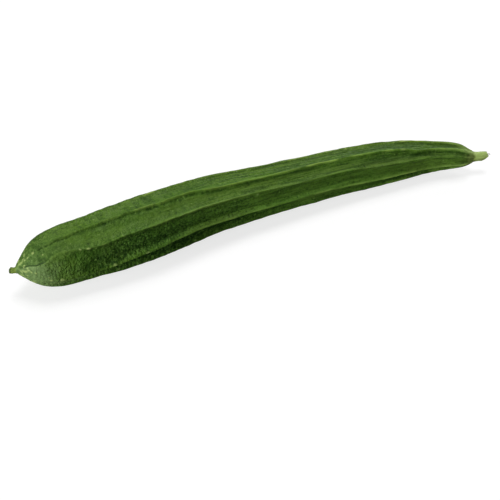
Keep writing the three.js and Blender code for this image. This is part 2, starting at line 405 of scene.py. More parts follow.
# small pale warts, mostly on crests, and shallow pits between them
wart_mask = np.zeros_like(radius)
pit_mask = np.zeros_like(radius)
plain_mask = np.zeros_like(radius)


def spot(at, place, size, height, mask, stretch=1.25):
    global radius
    dg = (ring_pos - place + 5) % 10 - 5
    m = np.exp(-((S - at * LENGTH) ** 2 / (size * stretch) ** 2 + (dg * R * 0.628) ** 2 / size**2))
    radius = radius + height * m * (R > 3.5)
    np.maximum(mask, m, out=mask)


for at, place, size, height, stretch in [
    (0.1145, 2.0, 0.6, 0.3, 1.3), (0.129, 2.0, 0.5, 0.25, 2.6), (0.171, 2.97, 0.65, 0.4, 1.7), (0.236, 3.0, 0.6, 0.3, 2.0),
    (0.492, 2.12, 0.8, 0.45, 1.0), (0.0525, 2.972, 0.55, 0.25, 1.8), (0.0705, 2.972, 0.55, 0.25, 2.8), (0.0135, 2.37, 0.55, 0.15, 2.2), (0.0354, 1.1, 0.8, 0.2, 1.1),
    (0.0197, 0.69, 0.55, 0.15, 1.3), (0.0184, 1.2, 0.55, 0.15, 1.3), (0.0077, 1.15, 0.5, 0.1, 1.2), (0.84, 1.02, 0.7, 0.2, 3.5), (0.85, 0.02, 0.8, 0.25, 5.0),
]:
    spot(at, place, size, height, wart_mask, stretch)
for _ in range(60):
    at, on, off = rng.uniform(0.13, 0.97), rng.integers(0, 10), rng.normal(0, 0.06)
    size, height = rng.uniform(0.4, 0.8), rng.uniform(0.08, 0.25)
    spot(at, on + off, size, height * (0.4 if on in (1, 2, 3) else 1.0), plain_mask if on in (1, 2, 3) else wart_mask)
for _ in range(90):
    spot(abs(rng.normal(0, 0.02)) + 0.003, rng.uniform(0, 10), rng.uniform(0.3, 0.8), rng.uniform(0.05, 0.16), wart_mask, rng.uniform(0.8, 1.8))
for _ in range(260):
    spot(rng.uniform(0.1, 0.97), rng.integers(0, 10) + rng.uniform(0.12, 0.88), rng.uniform(0.5, 1.0), -rng.uniform(0.06, 0.22), pit_mask)

centre = axis_point(t)
up, front = ring_frame(axis_tangent(t))
P = centre[:, None, :] + radius[..., None] * (np.cos(angle)[..., None] * up[:, None, :] + np.sin(angle)[..., None] * front[:, None, :])
P[..., 2] = np.maximum(P[..., 2], 0.0)  # flattened where it lies

# the rind's margin at each end: it closes over the root of the flower remnant and runs out thinly onto the stem
stub_point, stub_tangent = bezier(axis_point(1.0) + axis_tangent(1.0) * SEAT_GAP, axis_tangent(1.0), STUB_END)
tip_point, tip_tangent = bezier(axis_point(0.0) - axis_tangent(0.0) * SEAT_GAP, -axis_tangent(0.0), TIP_END)
stub_len = np.linalg.norm(np.asarray(STUB_END) - axis_point(1.0))
tip_len = np.linalg.norm(np.asarray(TIP_END) - axis_point(0.0))
stub_radius, tip_radius = spline(STUB_S, STUB_MM), spline(TIP_S, TIP_MM)


def margin(point, tangent, radius_of, length, turn, steps, sign):
    """Rings beyond an end of the fruit: (way along in mm, height over the end piece in mm)."""
    rings = []
    finger = 0.9 + 0.1 * gauss(h[0], 0.45) + 0.12 * noise(np.stack([ring_pos[0] * 2.3, 0 * f_in, 0 * f_in], -1), 91)
    for way, over in steps:
        s = way * finger / length
        c, tan = point(s), tangent(s) * sign
        a_up, a_front = ring_frame(tan)
        r = radius_of(np.clip(s, 0, 1)) + over
        rings.append(c + r[:, None] * (np.cos(turn)[:, None] * a_up + np.sin(turn)[:, None] * a_front))
    return np.array(rings)


after = margin(stub_point, stub_tangent, stub_radius, stub_len, angle[-1], [(0.2, 0.08), (0.4, 0.05), (0.6, 0.0), (0.78, -0.12), (0.9, -0.4)], 1)
before = margin(tip_point, tip_tangent, tip_radius, tip_len, angle[0], [(0.55, -0.6), (0.5, 0.02), (0.25, 0.22)], -1)
P = np.concatenate([before, P, after])
nb, na = len(before), len(after)


def widen(a, first=None, last=None):
    """The same value on the added rings as on the end rings, unless one is given."""
    a = np.asarray(a, float)
    lead = np.repeat(a[:1], nb, 0) if first is None else np.full((nb, *a.shape[1:]), first)
    tail = np.repeat(a[-1:], na, 0) if last is None else np.full((na, *a.shape[1:]), last)
    return np.concatenate([lead, a, tail])


first_mid, last_mid = before[0].mean(0), after[-1].mean(0)
verts, quads, caps = loft(P, first_mid, last_mid)
faces = [tuple(q) for q in quads.tolist()] + [tuple(c) for c in caps.tolist()]

# bake UV: u along, v around, with the seam on the underside
rows, around = P.shape[:2]
uu = 0.02 + 0.96 * np.concatenate([np.linspace(-0.004 * nb, -0.004, nb), u * 1.0, 1 + np.linspace(0.004, 0.004 * na, na)])
uu = 0.02 + 0.96 * (uu - uu[0]) / (uu[-1] - uu[0])
seam = int(np.argmin(np.abs(ring_deg[RINGS // 2] - 180.0)))


def v_of(j, step):
    return 0.04 + 0.92 * ((j - seam) % around + step) / around


i, j = np.meshgrid(np.arange(rows - 1), np.arange(around), indexing="ij")
v0, v1 = v_of(j, 0), v_of(j, 1)
quad_uv = np.stack([np.stack([uu[i], v0], -1), np.stack([uu[i], v1], -1), np.stack([uu[i + 1], v1], -1), np.stack([uu[i + 1], v0], -1)], 2)
j = np.arange(around)


def cap_uv(middle, edge, a, b):
    return np.stack([np.full((around, 2), [middle, 0.5]), np.stack([np.full(around, edge), a], 1), np.stack([np.full(around, edge), b], 1)], 1)


cap0 = cap_uv(0.007, 0.014, v_of(j, 1), v_of(j, 0))
cap1 = cap_uv(0.993, 0.986, v_of(j, 0), v_of(j, 1))
uvs = np.concatenate([quad_uv.reshape(-1, 2), cap0.reshape(-1, 2), cap1.reshape(-1, 2)])


def pad(a, first, last):
    return np.concatenate([np.asarray(a, float).reshape(-1), [first, last]])


# how pale the line on each ridge is (partly the rib's paler colour, partly a painted highlight), and short painted
# glints along it
PALE_T = [0, 0.12, 0.2, 0.35, 0.5, 0.62, 0.85, 1]
PALE_RIB_AND_HIGHLIGHT = [[0, 0, 0.3, 0.5, 0.6, 0.5, 0.6, 0.9], [0, 0.15, 0.8, 1.25, 1.15, 0.95, 0.5, 1.0], [0, 0.3, 0.75, 1.0, 0.75, 0.4, 0.2, 0.05], [0, 0.1, 0.4, 0.75, 1.15, 1.3, 1.2, 1.0], [0, 0.1, 0.2, 0.3, 0.4, 0.5, 0.6, 0.8]]
PALE_RIB_AND_HIGHLIGHT += [[0, 0.2, 0.5, 0.7, 0.8, 0.8, 0.8, 1.0], [0, 0, 0.3, 0.6, 0.5, 0.3, 0.4, 0.4], [0, 0.1, 0.6, 0.7, 0.8, 0.9, 0.9, 0.9], [0, 0.3, 0.4, 0.5, 0.4, 0.5, 0.5, 0.7], [0, 0, 0.5, 0.7, 0.8, 0.7, 0.8, 0.9]]
PAINTED_GLINTS = [(1, 0.235, 0.275, 0.35), (1, 0.335, 0.345, 0.4), (1, 0.38, 0.44, 0.4), (1, 0.435, 0.475, 0.55), (1, 0.545, 0.6, 0.35), (1, 0.615, 0.686, 0.95), (1, 0.664, 0.68, 1.3), (1, 0.722, 0.748, 0.5), (1, 0.755, 0.766, 0.3), (1, 0.798, 0.816, 0.75), (1, 0.93, 0.985, 0.5), (2, 0.125, 0.135, 0.3), (2, 0.155, 0.161, 0.4), (2, 0.28, 0.29, 0.35), (2, 0.37, 0.38, 0.3), (2, 0.464, 0.472, 0.3), (3, 0.42, 0.44, 0.3), (3, 0.62, 0.66, 0.75), (3, 0.7, 0.745, 0.45), (3, 0.785, 0.868, 0.9)]
for _ in range(26):
    a0 = rng.uniform(0.15, 0.9)
    PAINTED_GLINTS.append((int(rng.choice([0, 4, 5, 6, 7, 8, 9])), a0, a0 + rng.uniform(0.012, 0.045), rng.uniform(0.3, 0.9)))
nearest = np.where(f < 0.5, gap_id[None, :], (gap_id[None, :] + 1) % 10)
pale_rib_and_highlight = np.zeros_like(f)
painted_glint = np.zeros_like(f)
for r in range(10):
    pale_rib_and_highlight = np.where(nearest == r, np.interp(T2, PALE_T, PALE_RIB_AND_HIGHLIGHT[r]), pale_rib_and_highlight)
for r, a0, a1, level in [(2, 0.665, 0.715, 0.9), (1, 0.69, 0.712, 0.6), (1, 0.775, 0.79, 0.8), (1, 0.82, 0.842, 0.9), (0, 0.3, 0.34, 0.7), (5, 0.42, 0.47, 0.8), (7, 0.6, 0.64, 0.8), (9, 0.7, 0.74, 0.7)]:
    pale_rib_and_highlight = pale_rib_and_highlight * (1 - (nearest == r) * level * smooth(T2, a0 - 0.006, a0 + 0.004) * (1 - smooth(T2, a1 - 0.004, a1 + 0.006)))
pale_rib_and_highlight = pale_rib_and_highlight * (1 - 0.65 * (gap_id == 2)[None, :] * smooth(f, 0.0, 0.04) * smooth(T2, 0.1, 0.14) * (1 - smooth(T2, 0.29, 0.34)))
pale_rib_and_highlight = pale_rib_and_highlight * (1 - 0.85 * (gap_id == 3)[None, :] * smooth(f, 0.0, 0.05) * smooth(T2, 0.83, 0.87))
for r, a0, a1, level in PAINTED_GLINTS:
    painted_glint = np.maximum(painted_glint, (nearest == r) * level * smooth(T2, a0 - 0.004, a0 + 0.006) * (1 - smooth(T2, a1 - 0.006, a1 + 0.004)) * gauss(crest_mm, 0.75))
painted_shade_light_and_mottle = smooth(noise(flow * np.array([0.05, 0.11, 0.11]), 95) + 0.25 * noise(flow / 5.0, 96), 0.15, 0.6) * 0.6
# painted shade on the flank above the fourth crest: darkest under its upper crest and again low down, with a lighter
# band between
low_from, low_to = np.interp(T2, [0.18, 0.215, 0.3, 0.36], [0.92, 0.8, 0.75, 0.7]), np.interp(T2, [0.18, 0.215, 0.3, 0.36], [1.03, 0.9, 0.87, 0.82])
f_low = f + 0.05 * noise(flow / 5.0, 98)
painted_flank_shade = 0.9 * (1 - smooth(f, 0.05, 0.15)) + np.interp(T2, [0.12, 0.27, 0.31, 0.34, 0.375, 0.41], [0.5, 0.5, 0.3, 0, 0, 0.15]) * smooth(f, 0.05, 0.15) * (1 - smooth(f, 0.36, 0.48))
painted_flank_shade = painted_flank_shade + np.interp(T2, [0.12, 0.275, 0.31, 0.36, 0.4], [1.15, 1.15, 0.7, 0.42, 0.35]) * smooth(f, 0.36, 0.48) * (1 - smooth((f_low - low_from) / (low_to - low_from), 0, 1))
painted_shade_and_light = (gap_id == 2)[None, :] * painted_flank_shade * smooth(T2 + 0.02 * noise(flow / 6.0, 97), 0.085, 0.155) * (1 - smooth(T2, 0.36, 0.5))
# painted shadow on the flank below the fourth crest along the thick part, and painted shade there near the stem
lower = (gap_id == 3)[None, :] * smooth(f, 0.02, 0.12)
lower_T = T2 + 0.02 * noise(flow * np.array([0.09, 0.3, 0.3]), 91) + 0.09 * smooth(f, 0.4, 0.95)
painted_shade_and_light = painted_shade_and_light + lower * (np.interp(T2, [0.22, 0.26, 0.33, 0.37, 0.42, 0.46], [1.4, 2.0, 2.0, 1.4, 1.5, 2.2]) * (1 - 0.5 * smooth(f, 0.55, 0.95)) * smooth(lower_T, 0.15, 0.24) * (1 - smooth(lower_T, 0.43, 0.58)) + 0.8 * smooth(T2, 0.8, 0.87) * (1 - smooth(T2, 0.965, 0.99)) * (1 - smooth(f, 0.5, 0.85)))
# painted light where these terms are negative (shaded flanks made paler), painted shade where they are positive
painted_shade_and_light = painted_shade_and_light - 1.0 * lower * smooth(T2, 0.54, 0.62) * (1 - smooth(T2, 0.76, 0.84)) * (1 - smooth(f, 0.5, 0.9))
painted_shade_and_light = painted_shade_and_light - 0.45 * (gap_id == 2)[None, :] * smooth(f, 0.76, 0.86) * smooth(T2, 0.295, 0.335) * (1 - smooth(T2, 0.47, 0.53))
painted_shade_and_light = painted_shade_and_light - 0.4 * (gap_id == 1)[None, :] * smooth(f, 0.17, 0.25) * (1 - smooth(f, 0.38, 0.5)) * smooth(T2, 0.27, 0.34) * (1 - smooth(T2, 0.58, 0.66))
painted_shade_and_light = painted_shade_and_light - (gap_id == 2)[None, :] * smooth(f, 0.03, 0.12) * (1 - smooth(f, 0.85, 0.97)) * (0.25 * smooth(T2, 0.54, 0.62) + 0.3 * smooth(T2, 0.72, 0.8)) * (1 - smooth(T2, 0.88, 0.95))
painted_shade_and_light = painted_shade_and_light + (gap_id == 1)[None, :] * (0.5 * smooth(f, 0.1, 0.2) * (1 - smooth(f, 0.42, 0.58)) * smooth(T2, 0.83, 0.87) * (1 - smooth(T2, 0.95, 0.98)) + 0.5 * smooth(f, 0.4, 0.75) * smooth(T2, 0.03, 0.045) * (1 - smooth(T2, 0.075, 0.11)))
painted_shade_and_light = painted_shade_and_light + 0.6 * ((gap_id == 0) | (gap_id == 9))[None, :] * (1 - smooth(T2, 0.045, 0.07)) + 0.3 * (gap_id == 1)[None, :] * (1 - smooth(T2, 0.05, 0.075)) * (1 - smooth(f, 0.9, 1.0))
painted_shade_and_light = painted_shade_and_light - (gap_id == 0)[None, :] * (0.45 * gauss(f - 0.3, 0.16) * smooth(T2, 0.93, 0.95) + 1.1 * smooth(T2, 0.95, 0.968) * smooth(f, 0.02, 0.15))
painted_shade_and_light = painted_shade_and_light + 1.3 * (gap_id == 3)[None, :] * gauss(f - 0.12, 0.18) * smooth(f, 0.0, 0.03) * smooth(T2, 0.85, 0.88) * (1 - smooth(T2, 0.962, 0.978))
painted_shade_and_light = painted_shade_and_light - 0.35 * (gap_id == 2)[None, :] * smooth(f, 0.35, 0.55) * (1 - smooth(f, 0.9, 1.0)) * smooth(T2, 0.9, 0.94) * (1 - smooth(T2, 0.975, 0.99)) + 0.3 * (nearest == 2) * gauss(crest_mm, 1.3) * smooth(T2, 0.925, 0.945)
painted_shade_and_light = painted_shade_and_light + 0.2 * (gap_id == 0)[None, :] * smooth(f, 0.0, 0.15) * (1 - smooth(f, 0.85, 1.0)) * smooth(T2, 0.48, 0.62) * (1 - smooth(T2, 0.86, 0.94))
ragged_T = T2 + 0.016 * noise(flow / 4.0, 93) + 0.02 * smooth(f, 0.3, 0.8) * (gap_id == 3)[None, :]
painted_shade_and_light = painted_shade_and_light - 1.2 * (gap_id == 3)[None, :] * smooth(f, 0.03, 0.15) * (1 - smooth(f, 0.4, 0.78)) * smooth(ragged_T, 0.045, 0.085) * (1 - smooth(ragged_T, 0.115, 0.17))
painted_shade_and_light = painted_shade_and_light + 0.35 * (nearest == 2) * gauss(crest_mm, 1.3) * smooth(T2, 0.06, 0.09) * (1 - smooth(T2, 0.19, 0.24))
painted_shade_and_light = painted_shade_and_light - (0.35 * (gap_id == 1)[None, :] * smooth(f, 0.5, 0.75) + 0.25 * (nearest == 2) * gauss(crest_mm, 1.5)) * smooth(T2, 0.72, 0.77) * (1 - smooth(T2, 0.84, 0.88))
painted_shade_and_light = painted_shade_and_light - 0.25 * (gap_id == 2)[None, :] * smooth(f, 0.03, 0.12) * (1 - smooth(f, 0.85, 0.97)) * smooth(T2, 0.4, 0.5) * (1 - smooth(T2, 0.58, 0.66))
painted_shade_and_light = painted_shade_and_light + 0.5 * lower * smooth(T2, 0.4, 0.44) * (1 - smooth(lower_T, 0.46, 0.55)) - 0.6 * (nearest == 3) * gauss(crest_mm, 1.3) * smooth(T2, 0.67, 0.72) * (1 - smooth(T2, 0.94, 0.97))
# painted shade in the step under the second crest, and on the upper back flank of the thick end
painted_shade_and_light = painted_shade_and_light + under * np.interp(T2, [0.1, 0.14, 0.28, 0.32], [0.9, 1.55, 1.65, 1.2]) + (gap_id == 9)[None, :] * smooth(T2, 0.03, 0.06) * (1 - smooth(T2, 0.2, 0.4)) * 0.35 * (1 - smooth(f, 0.7, 0.95))
painted_shade_and_light = painted_shade_and_light - 0.14 * (gap_id == 9)[None, :] * smooth(f, 0.35, 0.5) * (1 - smooth(f, 0.9, 1.0)) * smooth(T2, 0.3, 0.4) * (1 - smooth(T2, 0.6, 0.66))
# random dark mottles on the back and underside, joined with the painted shade (positive) and painted light (negative)
painted_shade_light_and_mottle = np.maximum(painted_shade_light_and_mottle * smooth(T2, 0.12, 0.2) * (1 - smooth(T2, 0.8, 0.95)) * (nearest > 3), painted_shade_and_light) * (painted_shade_and_light >= 0) + np.minimum(painted_shade_and_light, 0)
# painted shade in the grooves towards the neck
GROOVE_SHADE = np.array([0.9, 0.9, 0.25, 0.8, 1.0, 1.0, 1.0, 1.0, 1.0, 0.9])
groove_shade = GROOVE_SHADE[gap_id][None, :] * smooth(T2, 0.5, 0.85) * smooth(h, 0.12, 0.6)
# pale blossom end, mostly on its lower front side (partly painted light), and painted light on the flank below the
# fourth crest near that end
pale_end_and_painted_light = smooth(T2, 0.0, 0.01) * (1 - smooth(T2 + 0.015 * noise(flow / 5.0, 99) + 0.012 * (1 - smooth(ring_pos, 2.1, 2.4)), 0.046, 0.078)) * (0.05 + 0.95 * smooth(ring_pos, 1.93, 2.05) * (1 - smooth(ring_pos, 4.0, 4.6)))
pale_end_and_painted_light = pale_end_and_painted_light * (0.6 + 0.4 * smooth(T2, 0.012, 0.028))
pale_end_and_painted_light = np.maximum(pale_end_and_painted_light, 0.75 * smooth(ring_pos, 2.98, 3.06) * (1 - smooth(ring_pos, 3.6, 3.9)) * smooth(T2, 0.02, 0.04) * (1 - smooth(ragged_T, 0.12, 0.19)))
ROUGH = np.array([0.6, 0.45, 0.85, 0.9, 0.85, 0.95, 0.75, 1.0, 0.7, 0.85])
SPECKLE = np.array([1.35, 0.75, 1.5, 1.3, 1.0, 1.3, 1.1, 1.4, 0.9, 1.2])
rough = np.interp((ring_pos - 0.5) % 10, np.arange(11), np.append(ROUGH, ROUGH[0]))
rough = rough + (1.0 - rough) * smooth(T2, 0.3, 0.6)
speckle = np.interp((ring_pos - 0.5) % 10, np.arange(11), np.append(SPECKLE, SPECKLE[0]))
speckle = speckle + (1.35 - speckle) * 0.8 * smooth(T2, 0.34, 0.5)
speckle = speckle * (1 - 0.3 * (gap_id == 2)[None, :] * (1 - smooth(T2, 0.12, 0.17)))
# coarse stippling, strongest on the dark flank below the third ridge
STIPPLE = np.array([0.25, 0.25, 1.0, 0.6, 0.5, 0.4, 0.5, 0.4, 0.4, 0.25])
stipple = STIPPLE[gap_id][None, :] * smooth(h, 0.04, 0.2) * np.interp(T2, [0.13, 0.18, 0.45, 0.55, 0.8, 0.95], [0, 1, 1, 0.6, 0.5, 0.3])
# the hollows at the stem are darker olive, mostly on the front
NECK_HOLLOW_DARKENING = np.array([0.0, 1.0, 0.7, 0.5, 0.7, 0.4, 0.8, 0.5, 0.6, 0.2])
neck_hollow_darkening = NECK_HOLLOW_DARKENING[gap_id][None, :] * smooth(h, 0.1, 0.5) * np.where(gap_id == 1, smooth(f, 0.3, 0.6), 1.0)
# a greener tint by position round the fruit, strongest on the flanks in shade: partly painted shade colour
BAND_AND_SHADE_GREENING_POS = [0, 0.5, 0.93, 1.07, 1.3, 1.6, 1.85, 2.0, 2.15, 3.5, 4.2, 7, 10]
BAND_AND_SHADE_GREENING = [0.12, 0.33, 0.6, 0.6, 0.45, 0.15, 0.15, 0.5, 0.8, 0.85, 0.6, 0.5, 0.12]
band_and_shade_greening = np.interp(ring_pos, BAND_AND_SHADE_GREENING_POS, BAND_AND_SHADE_GREENING) * (0.55 * smooth(T2, 0.05, 0.12) + 0.45 * smooth(T2, 0.12, 0.28)) * (1 - smooth(T2, 0.97, 1.0))
band_and_shade_greening = band_and_shade_greening * (1 - 0.4 * gauss(ring_pos - 3.0, 0.25) * (1 - smooth(T2, 0.42, 0.5)) - 0.35 * gauss(ring_pos - 0.9, 0.6) * (1 - smooth(T2, 0.26, 0.32)))
band_and_shade_greening = band_and_shade_greening * (1 - 0.35 * smooth(T2, 0.82, 0.87) * smooth(ring_pos, 2.05, 2.2)) + 0.25 * smooth(T2, 0.92, 0.95) * (1 - smooth(T2, 0.97, 0.985)) * gauss(ring_pos - 1.65, 0.25)
# a yellower tint on the top facets: painted light colour on the lit top
lit_top_yellowing = np.interp(ring_pos, [0, 0.9, 1.05, 1.3, 8, 9, 10], [1, 1, 0.4, 0, 0, 0.8, 1]) * smooth(T2, 0.15, 0.4) * (1 - smooth(T2, 0.93, 0.97))
# the top near the stem, where it is painted paler: painted light
pale_lit_top = np.clip(gauss(ring_pos - 1.0, 0.16) + 0.75 * smooth(ring_pos, 0.1, 0.3) * (1 - smooth(ring_pos, 0.95, 1.05)) + 0.5 * gauss(ring_pos - 2.95, 0.16), 0, 1)
beyond = widen(T2)
beyond[:nb] = -0.004
beyond[-na:] = 1.004
flow_all = widen(flow)
attributes = {
    "crest": ("FLOAT", pad(widen(h), 1, 1)),
    "crest_mm": ("FLOAT", pad(widen(crest_mm), 2, 2)),
    "along": ("FLOAT", pad(beyond, -0.004, 1.004)),
    "wart": ("FLOAT", pad(widen(wart_mask, 0, 0), 0, 0)),
    "pit": ("FLOAT", pad(widen(pit_mask, 0, 0), 0, 0)),
    "wrinkle": ("FLOAT", pad(widen(wrinkle * wrinkle_mask * (0.7 + 0.3 * smooth(T2, 0.12, 0.17)), 0, 0), 0, 0)),
    "stipple": ("FLOAT", pad(widen(stipple, 0, 0), 0, 0)),
    "crease": ("FLOAT", pad(widen(crease - shelf, 0, 0), 0, 0)),
    "paleness_and_highlight": ("FLOAT", pad(widen(pale_rib_and_highlight), 0, 0)),
    "rough": ("FLOAT", pad(widen(rough), 0.5, 0.5)),
    "speckle": ("FLOAT", pad(widen(speckle), 1, 1)),
    "groove_shade": ("FLOAT", pad(widen(groove_shade), 0, 0)),
    "neck_hollow_darkening": ("FLOAT", pad(widen(neck_hollow_darkening), 0, 0)),
    "patch": ("FLOAT", pad(widen(painted_shade_light_and_mottle, 0, 0), 0, 0)),
    "band_and_shade_greening": ("FLOAT", pad(widen(band_and_shade_greening, 0, 0), 0, 0)),
    "lit_top_yellowing": ("FLOAT", pad(widen(lit_top_yellowing, 0, 0), 0, 0)),
    "pale_lit_top": ("FLOAT", pad(widen(pale_lit_top), 0, 0)),
    "pale_end_and_painted_light": ("FLOAT", pad(widen(pale_end_and_painted_light, 0, 0), 0, 0)),
    "painted_glint": ("FLOAT", pad(widen(painted_glint, 0, 0), 0, 0)),
    "flow": ("FLOAT_VECTOR", np.concatenate([flow_all.reshape(-1, 3), [[0, 0, 0]], [[LENGTH, 0, 0]]]) * MM),
}

# rind: dark green, mottled, with pale ribs, warts and specks
N = Nodes("gourd_rind")
crest, crest_d, along, wart, pit, wrinkled, crease_shade_and_shelf = (N.attr(a) for a in ("crest", "crest_mm", "along", "wart", "pit", "wrinkle", "crease"))
flow_v = N.attr("flow", "Vector")
paleness_and_highlight = N.attr("paleness_and_highlight")
mottle = N.noise(flow_v, 420.0, 3.0, 0.6)
blotch = N.noise(N.scaled(flow_v, (0.7, 1.0, 1.0), (0.3, 0.1, 0.2)), 150.0, 3.0, 0.6, 0.3)
patch = N.noise(flow_v, 40.0, 3.0, 0.55, 0.5)
grain = N.noise(flow_v, 1000.0, 2.0, 0.6)
long_streak = N.noise(N.scaled(flow_v, (0.06, 1.0, 1.0)), 420.0, 3.0, 0.6)
band_streak = N.noise(N.scaled(flow_v, (0.05, 1.0, 1.0), (0.4, 0.2, 0.6)), 190.0, 2.0, 0.5)
slim = N.remap(along, 0.2, 0.55, 0.35, 1.0)
speckle = N.attr("speckle")
line_streak = N.noise(N.scaled(flow_v, (0.045, 1.0, 1.0), (0.9, 0.4, 0.2)), 780.0, 1.0, 0.4)
base = N.mix(N.remap(patch, 0.35, 0.68), srgb(80, 112, 28), srgb(70, 104, 26))
base = N.mix(N.times(N.remap(along, 0.13, 0.0), 0.4), base, srgb(72, 98, 62))
base = N.mix(N.times(N.remap(blotch, 0.5, 0.68), 0.35), base, srgb(96, 128, 56))
base = N.mix(N.times(N.remap(blotch, 0.48, 0.32), 0.35), base, srgb(56, 86, 30))
base = N.mix(N.times(N.remap(mottle, 0.5, 0.66), speckle, 0.38), base, srgb(104, 134, 58))
base = N.mix(N.times(N.remap(mottle, 0.48, 0.32), speckle, 0.45), base, srgb(40, 68, 18))
base = N.mix(N.times(N.remap(grain, 0.45, 0.34), speckle, 0.46), base, srgb(34, 58, 16))
base = N.mix(N.times(N.remap(grain, 0.55, 0.66), speckle, 0.38), base, srgb(116, 146, 70))
base = N.mix(N.times(N.remap(long_streak, 0.52, 0.68), slim, 0.55), base, srgb(106, 136, 56))
base = N.mix(N.times(N.remap(band_streak, 0.52, 0.66), slim, 0.5), base, srgb(98, 128, 52))
base = N.mix(N.times(N.remap(band_streak, 0.48, 0.34), slim, 0.5), base, srgb(44, 72, 20))
base = N.mix(N.times(N.remap(long_streak, 0.47, 0.32), slim, 0.55), base, srgb(42, 70, 18))
thin = N.remap(along, 0.28, 0.45)
base = N.mix(N.times(N.remap(line_streak, 0.54, 0.63), thin, 0.4), base, srgb(114, 146, 60))
base = N.mix(N.times(N.remap(line_streak, 0.46, 0.37), thin, 0.5), base, srgb(38, 64, 16))
base = N.mix(N.times(N.remap(wrinkled, 0.0, -0.35), 0.32), base, srgb(44, 72, 22))
base = N.mix(N.times(N.remap(wrinkled, 0.05, 0.4), 0.22), base, srgb(108, 136, 68))
# painted shade from the patch map, broken by mottling, with the random dark mottles; negative values paint light
dark_shade_and_mottle = N.times(N.attr("patch"), N.remap(mottle, 0.62, 0.42, 0.35, 1.0))
base = N.mix(N.times(dark_shade_and_mottle, 0.75), base, srgb(28, 58, 4))
base = N.mix(N.times(N.attr("patch"), -0.6), base, srgb(128, 156, 66))
# coarse stippling
stip = N.noise(N.scaled(flow_v, (0.8, 1.0, 1.0), (0.15, 0.35, 0.55)), 760.0, 2.0, 0.6)
base = N.mix(N.times(N.remap(stip, 0.55, 0.63), N.attr("stipple"), 0.55), base, srgb(108, 138, 68))
base = N.mix(N.times(N.remap(stip, 0.45, 0.37), N.attr("stipple"), 0.6), base, srgb(20, 38, 8))
# dark dots and small pale flecks
dots = N.noise(N.scaled(flow_v, (0.8, 1.0, 1.0), (0.2, 0.6, 0.9)), 520.0, 1.0, 0.4)
dot_mask = N.times(N.remap(dots, 0.66, 0.76), N.remap(N.noise(flow_v, 140.0, 2.0), 0.46, 0.6))
base = N.mix(N.times(dot_mask, 0.7), base, srgb(28, 50, 14))
flecks = N.noise(N.scaled(flow_v, (0.7, 1.0, 1.0), (0.7, 0.3, 0.1)), 640.0, 1.0, 0.4)
fleck_mask = N.times(N.remap(flecks, 0.67, 0.75), N.remap(N.noise(flow_v, 90.0, 2.0), 0.45, 0.6))
base = N.mix(N.times(fleck_mask, 0.6), base, srgb(138, 164, 88))
base = N.mix(N.times(pit, 0.6), base, srgb(28, 48, 14))
# the blossom end is paler and speckled; the pale wash is laid mostly on its lower front side, partly as painted light,
# and a pale area on the flank below the fourth crest is painted light
base = N.mix(N.times(N.attr("pale_end_and_painted_light"), N.remap(blotch, 0.3, 0.7, 0.5, 1.0), 0.5), base, srgb(120, 142, 94))
specks = N.noise(N.scaled(flow_v, (1, 1, 1), (0.2, 0.9, 0.4)), 560.0, 1.0, 0.4)
speck_mask = N.times(N.remap(specks, 0.6, 0.68), N.remap(along, 0.075, 0.01), N.remap(N.noise(flow_v, 170.0, 2.0), 0.46, 0.6))
base = N.mix(N.times(speck_mask, 0.5), base, srgb(136, 162, 92))
# the crease painted darker: painted shade in the crease; the shelf beside it paler
base = N.mix(N.times(N.remap(crease_shade_and_shelf, 0.05, 0.7), 0.85), base, srgb(34, 58, 22))
base = N.mix(N.times(N.remap(crease_shade_and_shelf, -0.05, -0.8), N.remap(blotch, 0.35, 0.6, 0.35, 1.0), 0.5), base, srgb(134, 158, 104))
# painted shade: the grooves darker towards the neck
groove_shade_dark = N.times(N.attr("groove_shade"), N.remap(band_streak, 0.62, 0.4, 0.45, 1.0))
base = N.mix(N.times(groove_shade_dark, 0.6), base, srgb(40, 68, 20))
# pale line on each rib, broken in places: partly the rib's paler colour, partly a painted highlight
broken = N.remap(N.noise(N.scaled(flow_v, (0.18, 0.5, 0.5)), 170.0, 3.0), 0.35, 0.62, 0.2, 1.0)
base = N.mix(N.times(N.remap(crest_d, 1.5, 0.3), broken, paleness_and_highlight, 0.78), base, srgb(124, 150, 68))
# short painted glints on the crests
base = N.mix(N.math("MULTIPLY", N.attr("painted_glint"), 0.75, True), base, srgb(168, 190, 98))
base = N.mix(N.times(N.remap(along, 0.012, -0.001), N.remap(mottle, 0.4, 0.6, 0.1, 0.4)), base, srgb(130, 154, 92))
base = N.mix(N.times(N.remap(wart, 0.02, 0.85), N.remap(along, 0.0, 0.06, 0.55, 0.8)), base, srgb(165, 184, 108))
# towards the stem the ribs go pale and the hollows between them are darker olive
neck = N.remap(along, 0.88, 0.985)
base = N.mix(N.times(neck, N.remap(crest_d, 1.5, 0.2), paleness_and_highlight, 0.85), base, srgb(150, 178, 92))
neck_hollow_dark = N.times(N.remap(along, 0.955, 0.988), N.attr("neck_hollow_darkening"), N.remap(blotch, 0.36, 0.6, 0.4, 1.0))
base = N.mix(N.times(neck_hollow_dark, 0.5), base, srgb(66, 78, 30))
fade = N.math("ADD", along, N.times(N.math("SUBTRACT", mottle, 0.5), 0.02))
fade = N.remap(N.math("ADD", fade, N.remap(crest, 0.5, 0.0, 0.0, 0.01)), 0.985, 1.003)
base = N.mix(N.times(fade, 0.9), base, srgb(134, 154, 80))
# painted light: the top near the stem made paler
base = N.mix(N.times(N.remap(along, 0.962, 0.986), N.attr("pale_lit_top"), 0.9), base, srgb(158, 184, 104))
# greener tint, strongest on the flanks in shade: partly painted shade colour
base = N.mix(N.attr("band_and_shade_greening"), base, (0.78, 1.02, 0.78), "MULTIPLY")
